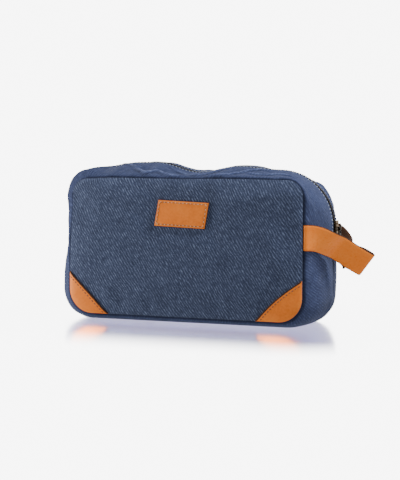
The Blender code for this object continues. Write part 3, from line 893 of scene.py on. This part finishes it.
def make_inner_layers():
    """Foam and lining behind the canvas, and the tape that binds the seams inside."""
    foam_inset = CANVAS + GAP
    lining_inset = CANVAS + FOAM + 2 * GAP
    for place, side in SIDES:
        name = f"{place}_foam"
        foam = panel_sheet(name, side, [FOAM_LOOK], (), INNER_RINGS, lambda inset: SEAM_Y - foam_inset)
        thicken(foam, FOAM)
        name = f"{place}_lining_cloth"
        depth = SEAM_Y - lining_inset
        lining = panel_sheet(name, side, [LINING_LOOK], (), INNER_RINGS, lambda inset: depth)
        thicken(lining, LINING)
        rows = flat_rows(side, *BINDING_EDGES, lining_inset + LINING + GAP, 4)
        binding = strip(f"{place}_binding_tape", all_round_closed, rows, [BINDING_LOOK])
        thicken(binding, LINING)
        on_side(foam, side, "interlining", "interlining", PANEL_PARTS)
        on_side(lining, side, "lining", "lining", PANEL_PARTS)
        on_side(binding, side, "binding", "seam_binding", PANEL_PARTS)
        path_length(all_round_closed, lining_inset)
    rows = flat_rows(1, -LINING_EDGE, LINING_EDGE, foam_inset, 14)
    foam = strip("base_foam", under_base, rows, [FOAM_LOOK])
    thicken(foam, FOAM)
    on_bag(foam, "interlining", "gusset_interlining")
    rows = flat_rows(1, -LINING_EDGE, LINING_EDGE, lining_inset, 14)
    lining = strip("base_lining_cloth", under_base, rows, [LINING_LOOK])
    thicken(lining, LINING)
    on_bag(lining, "lining", "gusset_lining")
    path_length(under_base, lining_inset)


def all_round_closed(y, inset):
    points = all_round(y, inset)
    return points + points[:1]


def path_length(path, inset):
    return running(path(0.0, inset))[-1]


# ---- the zip


TAPE_EDGES = (2.3, 12.0)
TAPE = 0.6
ZIP_LINING_START = 6.6
ZIP_LINING_INSET = 2.4
TEETH_PITCH = 2.3
TEETH_INSET = 0.9
TEETH_MARGIN = 5.0
# A tooth's size along the zip, across it and through it, and how far it reaches past the middle.
TOOTH = (1.25, 2.9, 2.2)
TOOTH_REACH = 0.35


def make_zip_cloth():
    for place, side in SIDES:
        rows = flat_rows(side, *TAPE_EDGES, CANVAS + GAP, 6)
        tape = strip(f"{place}_tape_cloth", over_top, rows, [TAPE_LOOK])
        thicken(tape, TAPE)
        rows = flat_rows(side, ZIP_LINING_START, LINING_EDGE, ZIP_LINING_INSET, 10)
        lining = strip(f"{place}_zip_lining_cloth", over_top, rows, [LINING_LOOK])
        thicken(lining, LINING)
        on_side(tape, side, "zip_tape", "zip_tape", ZIP_PARTS)
        on_side(lining, side, "lining", "zip_lining", ZIP_PARTS)
        path_length(over_top, CANVAS + GAP)
        path_length(over_top, ZIP_LINING_INSET)


def along_top(inset, y=0.0):
    """A function that gives point, forward and outward at a distance along the zip, and its length."""
    line = [Vector((x, y, z)) for x, z in over_top(y, inset)]
    run = running(line)

    def at(distance):
        place, part = find_part(run, distance)
        first, second = line[place : place + 2]
        forward = (second - first).normalized()
        return first.lerp(second, part), forward, Vector((forward.z, 0.0, -forward.x))

    return at, run[-1]


def tooth_mesh():
    """One rounded tooth with a foot that grips the tape, pointing towards -Y."""
    made = bmesh.new()
    bmesh.ops.create_cube(made, size=1.0)
    bmesh.ops.scale(made, verts=made.verts, vec=TOOTH)
    for vertex in made.verts:
        if vertex.co.y < 0:
            vertex.co.x *= 0.8
            vertex.co.z *= 0.7
    bmesh.ops.bevel(made, geom=made.edges[:], offset=0.22, segments=1, affect="EDGES")
    return made


def make_teeth():
    """Two rows that mesh: each tooth reaches just past the middle between two of the other row's."""
    shape = tooth_mesh()
    corners = [vertex.co.copy() for vertex in shape.verts]
    shape.verts.index_update()
    sides = [[vertex.index for vertex in face.verts] for face in shape.faces]
    shape.free()
    at, length = along_top(TEETH_INSET)
    for place, side in SIDES:
        points = []
        faces = []
        distance = TEETH_MARGIN + (TEETH_PITCH / 2 if side > 0 else 0.0)
        while distance < length - TEETH_MARGIN:
            spot, forward, outward = at(distance)
            turn = Matrix((forward, Vector((0.0, side, 0.0)), outward)).transposed()
            base = len(points)
            middle = spot + Vector((0.0, side * (TOOTH[1] / 2 - TOOTH_REACH), 0.0))
            points += [middle + turn @ corner for corner in corners]
            faces += [[base + index for index in face] for face in sides]
            distance += TEETH_PITCH
        made = piece(f"{place}_teeth_row", points, faces, [TEETH_LOOK], closed=True)
        made.data.set_sharp_from_angle(angle=math.radians(30))
        on_side(made, side, "zip_metal", "zip_teeth", ZIP_PARTS)


# ---- stitches


# The length of a stitch and of the space after it.
STITCH = (2.0, 1.5)
PATCH_STITCH = (1.1, 2.3)
THREAD_RADIUS = 0.36
TOPSTITCH_Y = 7.4
TOPSTITCH_MARGIN = 3.0
TOPSTITCH_STEPS = 160
THREAD_SIDES = 6
# Rings of a stitch: how far along it, how wide and how high, in parts of its length and radius.
STITCH_RINGS = [(0.0, 0.45, -0.9), (0.15, 0.9, -0.15), (0.5, 1.0, 0.25), (0.85, 0.9, -0.15)]
STITCH_RINGS += [(1.0, 0.45, -0.9)]


def stitch_run(name, spots, size, thread, lift=0.15, holes=True):
    """Stitches along a line of (place, outward) pairs: a sunk capsule each, and at its ends dark cones of
    painted shade for the needle holes.
    """
    run = running([spot for spot, _ in spots])

    def at(distance):
        place, part = find_part(run, distance)
        return [first.lerp(second, part) for first, second in zip(spots[place], spots[place + 1])]

    points = []
    faces = []
    marks = []
    length = size[0]
    radius = THREAD_RADIUS
    count = max(1, int((run[-1] - length) / sum(size)))
    step = (run[-1] - length) / count
    turns = THREAD_SIDES
    for number in range(count + 1):
        begin = number * step
        base = len(points)
        for ring, (part, wide, high) in enumerate(STITCH_RINGS):
            spot, outward = at(begin + length * part)
            ahead, _ = at(min(run[-1], begin + length * part + 0.2))
            behind, _ = at(max(0.0, begin + length * part - 0.2))
            forward = (ahead - behind).normalized()
            aside = forward.cross(outward).normalized()
            centre = spot + outward * (lift + high * radius)
            for turn in range(turns):
                angle = 2 * math.pi * turn / turns
                away = aside * math.cos(angle) + outward * math.sin(angle)
                points.append(centre + away * radius * wide)
            if ring:
                for turn in range(turns):
                    after = (turn + 1) % turns
                    low = base + (ring - 1) * turns
                    faces.append((low + turn, low + after, low + turns + after, low + turns + turn))
                    marks.append(0)
        faces.append(tuple(base + turn for turn in range(turns)))
        faces.append(tuple(base + 4 * turns + turn for turn in reversed(range(turns))))
        marks += [0, 0]
        for end in (0.0, length) if holes else ():
            spot, outward = at(begin + end)
            aside = outward.orthogonal().normalized()
            other = outward.cross(aside)
            base = len(points)
            for turn in range(turns):
                angle = 2 * math.pi * turn / turns
                away = aside * math.cos(angle) + other * math.sin(angle)
                points.append(spot + away * radius * 1.5 + outward * (lift * 0.5))
            points.append(spot + outward * (lift * 0.5 + radius * 0.5))
            points.append(spot - outward * radius)
            for turn in range(turns):
                after = (turn + 1) % turns
                faces.append((base + turn, base + after, base + turns))
                faces.append((base + after, base + turn, base + turns + 1))
                marks += [1, 1]
    made = piece(name, points, faces, [thread, HOLE_SHADE_LOOK], closed=True)
    made.data.polygons.foreach_set("material_index", marks)
    return made


def make_zip_stitches():
    """Topstitching along both edges of the zip opening."""
    for place, side in SIDES:
        at, length = along_top(0.0, side * TOPSTITCH_Y)
        spots = []
        for step in range(TOPSTITCH_STEPS + 1):
            part = step / TOPSTITCH_STEPS
            spot, _, outward = at(TOPSTITCH_MARGIN + (length - 2 * TOPSTITCH_MARGIN) * part)
            spots.append((spot, outward))
        made = stitch_run(f"{place}_zip_topstitch", spots, STITCH, NAVY_THREAD, lift=0.1, holes=False)
        on_side(made, side, "canvas")


# ---- leather


LABEL_THICKNESS = 1.6
LABEL_GRID = (36, 18)
LABEL_SEAM = (0.915, 0.83)
LABEL_SEAM_STEPS = 24
PATCH_THICKNESS = 1.2
PATCH_LIFT = 1.3
PATCH_SEAM_INSET = 3.0
PATCH_ROWS = 16
# Where a patch turns into the seam: inset and depth.
PATCH_TUCK = ((2.2, 45.5), (1.1, 45.7))
TO_FRONT = Vector((0.0, -1.0, 0.0))


def round_edges(made, width, segments, angle):
    """Round the edges that are steeper than the angle in degrees."""
    edge = modify(made, "BEVEL", width=width * MM, segments=segments, limit_method="ANGLE")
    edge.angle_limit = math.radians(angle)
    return edge


def leather_grid(name, columns, thickness, looks, inked_and_shaded_edge=False):
    """A leather piece from columns of points on its outer face, with its cut edges in the second look.

    The edge flag gives that look to the last row of the face too: edge stain, and with it painted shade
    along the piece's edge.
    """
    rows = len(columns[0])
    points = [point for column in columns for point in column]
    made = piece(name, points, grid_faces(len(columns), rows), looks)
    # The face's last row takes the dark edge look: edge stain and painted shade.
    if inked_and_shaded_edge:
        last = ([0] * (rows - 2) + [1]) * (len(columns) - 1)
        made.data.polygons.foreach_set("material_index", last)
    face_outwards(made, lambda place: TO_FRONT)
    modify(
        made, "SOLIDIFY", thickness=thickness * MM, offset=-1.0, material_offset_rim=1, use_even_offset=True
    )
    round_edges(made, 0.45, 2, 50).material = 1
    settle_modifiers(made, 60)
    return made


def label_spot(u, v, sink=0.0):
    """A point on the label's face. u and v run from -1 to 1 across and up."""
    middle = (label_low + label_high) / 2
    wide = label_high.x - label_low.x - LABEL_LEAN
    high = label_high.z - label_low.z - LABEL_DROP
    x = middle.x + u * wide / 2 + v * LABEL_LEAN / 2
    z = middle.z + v * high / 2 - u * LABEL_DROP / 2
    return Vector((x, -LABEL_FACE + sink, z))


def make_label():
    steps_across, steps_up = LABEL_GRID
    columns = []
    for place in range(steps_across + 1):
        u = -1 + 2 * place / steps_across
        column = []
        for row in range(steps_up + 1):
            v = -1 + 2 * row / steps_up
            # The edges are rubbed down a little, and the stitched line draws the leather in.
            rim = max(abs(u) ** 24, abs(v) ** 14)
            line = math.exp(-(((min(1 - abs(u), (1 - abs(v)) * 0.5) - 0.085) / 0.03) ** 2))
            column.append(label_spot(u, v, 0.35 * rim + 0.16 * line))
        columns.append(column)
    made = leather_grid("leather_label", columns, LABEL_THICKNESS, [TRIM_LOOK, EDGE_LOOK])
    on_bag(made, "trim_leather", "label_patch")
    u, v = LABEL_SEAM
    corners = [(-u, -v), (u, -v), (u, v), (-u, v), (-u, -v)]
    for number, (first, second) in enumerate(zip(corners, corners[1:])):
        line = [*straight(first, second, LABEL_SEAM_STEPS), second]
        spots = [(label_spot(*spot), TO_FRONT) for spot in line]
        seam = stitch_run(f"label_stitches_{number + 1}", spots, STITCH, PALE_THREAD)
        on_bag(seam, "trim_leather")


def patch_border(rise, leg, inset):
    half = SEAM_HALF - inset
    base = SEAM_BASE + inset
    radius = SEAM_BASE_RADIUS - inset
    border = straight((half, base + rise), (half, base + radius), 10) + [(half, base + radius)]
    border += reversed(arc((half - radius, base + radius), radius, 270, 16))
    return border + straight((half - radius, base), (half - leg, base), 10)[1:] + [(half - leg, base)]


def make_patch(place, side, rise, leg, bow):
    """A corner of leather over the canvas, turned into the seam, with stitches by its long side."""

    def on_face(u, w):
        return Vector((side * u, -panel_depth(seam_distance(u, w)) - PATCH_LIFT, w))

    border = patch_border(rise, leg, 0.9)
    tip = border[0]
    end = border[-1]
    columns = []
    seam_line = []
    for number, (x, z) in enumerate(border):
        part = number / (len(border) - 1)
        out = bow * math.sin(math.pi * part) / math.sqrt(2)
        goal = (tip[0] + (end[0] - tip[0]) * part - out, tip[1] + (end[1] - tip[1]) * part + out)
        column = []
        for inset, deep in PATCH_TUCK:
            tucked = patch_border(rise, leg, inset)[number]
            column.append((side * tucked[0], -deep, tucked[1]))
        reach = max(2.0, math.dist((x, z), goal))
        for row in range(PATCH_ROWS + 1):
            t = 1.0 if row == PATCH_ROWS else row / (PATCH_ROWS - 1) * (1 - INKED_AND_SHADED_EDGE / reach)
            column.append(on_face(x + (goal[0] - x) * t, z + (goal[1] - z) * t))
        columns.append(column)
        step = PATCH_SEAM_INSET / math.sqrt(2)
        u, w = goal[0] + step, goal[1] - step
        if seam_distance(u, w) > 2.2:
            seam_line.append((on_face(u, w), TO_FRONT))
    looks = [TRIM_LOOK, EDGE_LOOK]
    made = leather_grid(f"leather_corner_{place}", columns, PATCH_THICKNESS, looks, inked_and_shaded_edge=True)
    on_bag(made, "trim_leather", f"corner_patch_{place}")
    on_bag(stitch_run(f"corner_stitches_{place}", seam_line, PATCH_STITCH, BROWN_THREAD), "trim_leather")


STRAP_WIDTH = 25.0
STRAP_THICKNESS = 2.0
STRAP_Z = 86.6
STRAP_DROOP = math.radians(37.0)
STRAP_DROOP_FROM = 120.0
STRAP_DROOP_TO = 140.0
STRAP_POINTS = [(119.3, 44.6), (121.3, 45.6), (125.2, 42.6), (130.0, 38.5), (135.8, 33.0), (139.8, 27.0)]
STRAP_POINTS += [(142.2, 22.0), (144.4, 18.6), (147.8, 16.2), (153.5, 12.9), (159.8, 8.5), (164.5, 4.4)]
STRAP_POINTS += [(166.6, 2.1), (167.2, 0.0)]
# The back half lies closer to the front half, and it sinks lower between its seam and the fold.
STRAP_BACK_POINTS = [(119.3, 44.6), (121.3, 45.6), (125.2, 42.6), (130.0, 38.3), (135.0, 32.6)]
STRAP_BACK_POINTS += [(138.6, 26.4), (140.8, 20.6), (143.4, 15.2), (147.8, 10.4), (153.5, 6.6)]
STRAP_BACK_POINTS += [(159.8, 3.9), (164.6, 2.4)]
STRAP_BACK_POINTS += [(166.7, 1.5)]
STRAP_SINK_FROM = 121.0
STRAP_SINK_TO = 138.0
STRAP_BACK_ROOT_SINK = 5.0
STRAP_BACK_SINK = 11.0
STRAP_FOLD = 167.2
STRAP_ROUND = 0.7
STRAP_ROWS = 12


def strap_tilt(x):
    part = smooth((x - STRAP_DROOP_FROM) / (STRAP_DROOP_TO - STRAP_DROOP_FROM))
    return STRAP_DROOP * part


def strap_back_sink(x):
    """How much lower the back half of the strap lies than the front half at x."""
    part = smooth((x - STRAP_SINK_FROM) / (STRAP_SINK_TO - STRAP_SINK_FROM))
    sink = STRAP_BACK_ROOT_SINK + (STRAP_BACK_SINK - STRAP_BACK_ROOT_SINK) * part
    return sink * (1 - smooth((x - STRAP_SINK_TO) / (STRAP_FOLD - STRAP_SINK_TO)))


def strap_drop(x):
    """How far the middle of the strap has sunk at x: the slope there is that of its edges."""
    run = max(0.0, x - STRAP_DROOP_FROM) / 40
    return run * sum(math.tan(strap_tilt(STRAP_DROOP_FROM + run * (step + 0.5))) for step in range(40))


def curve_through(points, steps):
    """Points on a smooth curve through all the points, ends included."""
    dense = []
    ends = [points[0], *points, points[-1]]
    for a, b, c, d in zip(ends, ends[1:], ends[2:], ends[3:]):
        for t in (step / steps for step in range(steps)):
            bend = (2 * a - 5 * b + 4 * c - d) * t * t + (3 * b - a - 3 * c + d) * t**3
            dense.append(0.5 * (2 * b + (c - a) * t + bend))
    return dense + [points[-1]]


def make_strap():
    """One band of leather from seam to seam, smooth outside and rough inside, drooping beside the bag."""
    whole = [Vector((x, -y)) for x, y in STRAP_POINTS]
    whole += [Vector(point) for point in reversed(STRAP_BACK_POINTS)]
    line = curve_through(whole, 5)
    half = STRAP_WIDTH / 2
    thick = STRAP_THICKNESS / 2
    # The section as (outward, up, look): down the smooth face, round the lower edge and up the rough side.
    profile = []
    for side, look in ((1, 0), (-1, 2)):
        flat = half - STRAP_ROUND
        steps = range(STRAP_ROWS + 1)
        profile += [(side * thick, side * (flat - 2 * flat * step / STRAP_ROWS), look) for step in steps]
        rim = [(0.55, -half + 0.15), (0.0, -half), (-0.55, -half + 0.15)]
        profile += [(side * thick * out, side * up, 1) for out, up in rim]
    points = []
    for place, spot in enumerate(line):
        ahead = line[min(len(line) - 1, place + 1)]
        behind = line[max(0, place - 1)]
        along = (ahead - behind).normalized()
        outward = Vector((along.y, -along.x))
        sink, slope = 0.0, math.tan(strap_tilt(spot.x))
        if spot.y > 0:
            sink = strap_back_sink(spot.x)
            slope += strap_back_sink(spot.x + 0.5) - strap_back_sink(spot.x - 0.5)
        turn = Matrix.Rotation(math.atan(slope), 3, "Y")
        centre = Vector((spot.x, spot.y, STRAP_Z - strap_drop(spot.x) - sink))
        for away, up, _ in profile:
            points.append(centre + turn @ Vector((outward.x * away, outward.y * away, up)))
    size = len(profile)
    faces = grid_faces(len(line), size, closed=True)
    faces.append(tuple(range(size)))
    faces.append(tuple((len(line) - 1) * size + corner for corner in reversed(range(size))))
    slots = [look for _, _, look in profile]
    marks = [here if here == there else 1 for here, there in zip(slots, slots[1:] + slots[:1])]
    marks = marks * (len(line) - 1) + [1, 1]
    looks = [STRAP_LOOK, EDGE_LOOK, FLESH_LOOK]
    made = piece("hand_strap_leather", points, faces, looks, closed=True, settle=False)
    made.data.polygons.foreach_set("material_index", marks)
    made.data.set_sharp_from_angle(angle=math.radians(50))
    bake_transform(made)
    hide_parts("strap_loop", "strap_front_anchor", "strap_back_anchor")


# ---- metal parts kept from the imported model


def dress_metal():
    looks = dict.fromkeys(("slider_body", "slider_crown", "pull_tab"), BRONZE_LOOK)
    looks |= dict.fromkeys(("zip_bottom_stop", "zip_top_stop_front", "zip_top_stop_back"), TEETH_LOOK)
    for name, look in looks.items():
        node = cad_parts[name]
        if node.material_slots:
            for place in node.material_slots:
                place.material = look
        else:
            node.data.materials.append(look)
        round_edges(node, 0.25, 3, 35)


# ---- floor, light and camera


# Strength of the surroundings as the camera, glossy rays and diffuse rays see them.
BACKDROP = 7.7
GLOSS_AMBIENT = 1.0
AMBIENT = 0.2

# The painted shade of the table under the bag, beneath a painted reflection of the bag, and how far that
# reflection reaches in front of and around the bag.
TABLE_SHADE = (0.30, 0.20, 0.27)
TABLE_BOUNCE = 0.9
PAINTED_REFLECTION_NEAR = 0.062
PAINTED_REFLECTION_FAR = 0.168


def surroundings(tree, diffuse):
    """The strength of plain pale light for whichever ray asks."""
    ray = tree.add("LightPath").outputs
    indirect = tree.range(ray["Is Glossy Ray"], 0.0, 1.0, diffuse, GLOSS_AMBIENT)
    return tree.range(ray["Is Camera Ray"], 0.0, 1.0, indirect, BACKDROP)


def make_floor():
    """A pale glossy table top that meets a plain pale background. Close round the bag the camera sees a
    painted shade and a painted reflection, which fade with distance from the bag's footprint.
    """
    bpy.ops.mesh.primitive_plane_add(size=40.0, location=(0, 0, -0.0004))
    floor = bpy.context.object
    floor.name = "table_top"
    look = Look("pale_gloss_table")
    output = look.nodes["Material Output"]
    glow = surroundings(look, TABLE_BOUNCE)
    bare = look.add("Emission", {"Color": (1.0, 1.0, 1.0, 1.0), "Strength": glow})
    shade = look.add("Emission", {"Color": (*TABLE_SHADE, 1.0), "Strength": 1.0})
    # Painted reflection: a gloss tinted above 1 over the painted shade, so that where it mirrors the pale
    # surroundings it meets the backdrop.
    gain = tuple((BACKDROP - channel) / GLOSS_AMBIENT for channel in TABLE_SHADE)
    shine = look.add("BsdfGlossy", {"Color": (*gain, 1.0), "Roughness": 0.16}, distribution="GGX")
    shade_and_reflection = look.add("AddShader", {0: shade.outputs[0], 1: shine.outputs[0]})
    # Distance from the bag's footprint, in metres.
    place = look.add("TexCoord").outputs["Object"]
    reach = (SEAM_HALF * MM, SEAM_Y * MM, 0.0)
    beyond = look.vector("SUBTRACT", look.vector("ABSOLUTE", place), reach)
    distance = look.vector("LENGTH", look.vector("MAXIMUM", beyond, (0.0,) * 3), output="Value")
    # The painted shade and reflection fade out with that distance, and show to the camera only.
    painted_reflection = look.range(distance, PAINTED_REFLECTION_NEAR, PAINTED_REFLECTION_FAR, 1.0, 0.0, "SMOOTHSTEP")
    camera = look.add("LightPath").outputs["Is Camera Ray"]
    amount = look.mul(painted_reflection, camera)
    mix = look.add("MixShader", {0: amount, 1: bare.outputs[0], 2: shade_and_reflection.outputs[0]})
    look.links.new(mix.outputs["Shader"], output.inputs["Surface"])
    floor.data.materials.append(look.material)


def make_world():
    world = bpy.data.worlds.new("studio")
    bpy.context.scene.world = world
    tree = Tree(world)
    background = tree.nodes["Background"]
    tree.feed(background.inputs["Color"], (1.0, 1.0, 1.0, 1.0))
    tree.feed(background.inputs["Strength"], surroundings(tree, AMBIENT))


def soft_light(name, place, aim, size, power, colour):
    """A round studio lamp. It lights everything but the table top."""
    data = bpy.data.lights.new(name, "AREA")
    data.shape = "DISK"
    data.size = size
    data.energy = power
    data.color = colour
    lamp = bpy.data.objects.new(name, data)
    lamp.location = place
    lamp.rotation_euler = (Vector(aim) - Vector(place)).to_track_quat("-Z", "Y").to_euler()
    lamp.visible_camera = False
    bpy.context.scene.collection.objects.link(lamp)
    lit = bpy.data.collections.new(f"{name}_receivers")
    lit.objects.link(bpy.data.objects["table_top"])
    lit.collection_objects[0].light_linking.link_state = "EXCLUDE"
    lamp.light_linking.receiver_collection = lit


def make_lights():
    soft_light("left_key", (-0.48, -0.20, 0.11), (-0.07, 0, 0.05), 0.22, 3.0, (1.0, 0.98, 0.95))
    soft_light("right_light", (0.52, -0.10, 1.00), (0.13, 0, 0.09), 0.22, 18.0, (0.95, 0.97, 1.0))
    soft_light("strap_light", (0.70, -0.19, 0.12), (0.15, -0.02, 0.08), 0.12, 0.9, (1.0, 1.0, 1.0))


CAMERA_AZIMUTH = math.radians(20.5)
CAMERA_ELEVATION = math.radians(5.35)
CAMERA_DISTANCE = 1.787
CAMERA_TARGET = Vector((-0.0007, 0.0, 0.077))
CAMERA_LENS = 137.5


def make_camera():
    data = bpy.data.cameras.new("camera")
    data.sensor_width = 36.0
    data.lens = CAMERA_LENS
    camera = bpy.data.objects.new("camera", data)
    away = Vector(
        (
            math.sin(CAMERA_AZIMUTH) * math.cos(CAMERA_ELEVATION),
            -math.cos(CAMERA_AZIMUTH) * math.cos(CAMERA_ELEVATION),
            math.sin(CAMERA_ELEVATION),
        )
    )
    camera.location = CAMERA_TARGET + away * CAMERA_DISTANCE
    camera.rotation_euler = (-away).to_track_quat("-Z", "Y").to_euler()
    bpy.context.scene.collection.objects.link(camera)
    bpy.context.scene.camera = camera


make_camera()
make_canvas()
make_inner_layers()
make_zip_cloth()
make_teeth()
make_zip_stitches()
make_label()
make_patch("left", -1, PATCH_LEG_LEFT, PATCH_LEG_LEFT, 0.8)
make_patch("right", 1, PATCH_RISE_RIGHT, PATCH_LEG_RIGHT, PATCH_BOW_RIGHT)
make_strap()
dress_metal()
make_floor()
make_world()
make_lights()
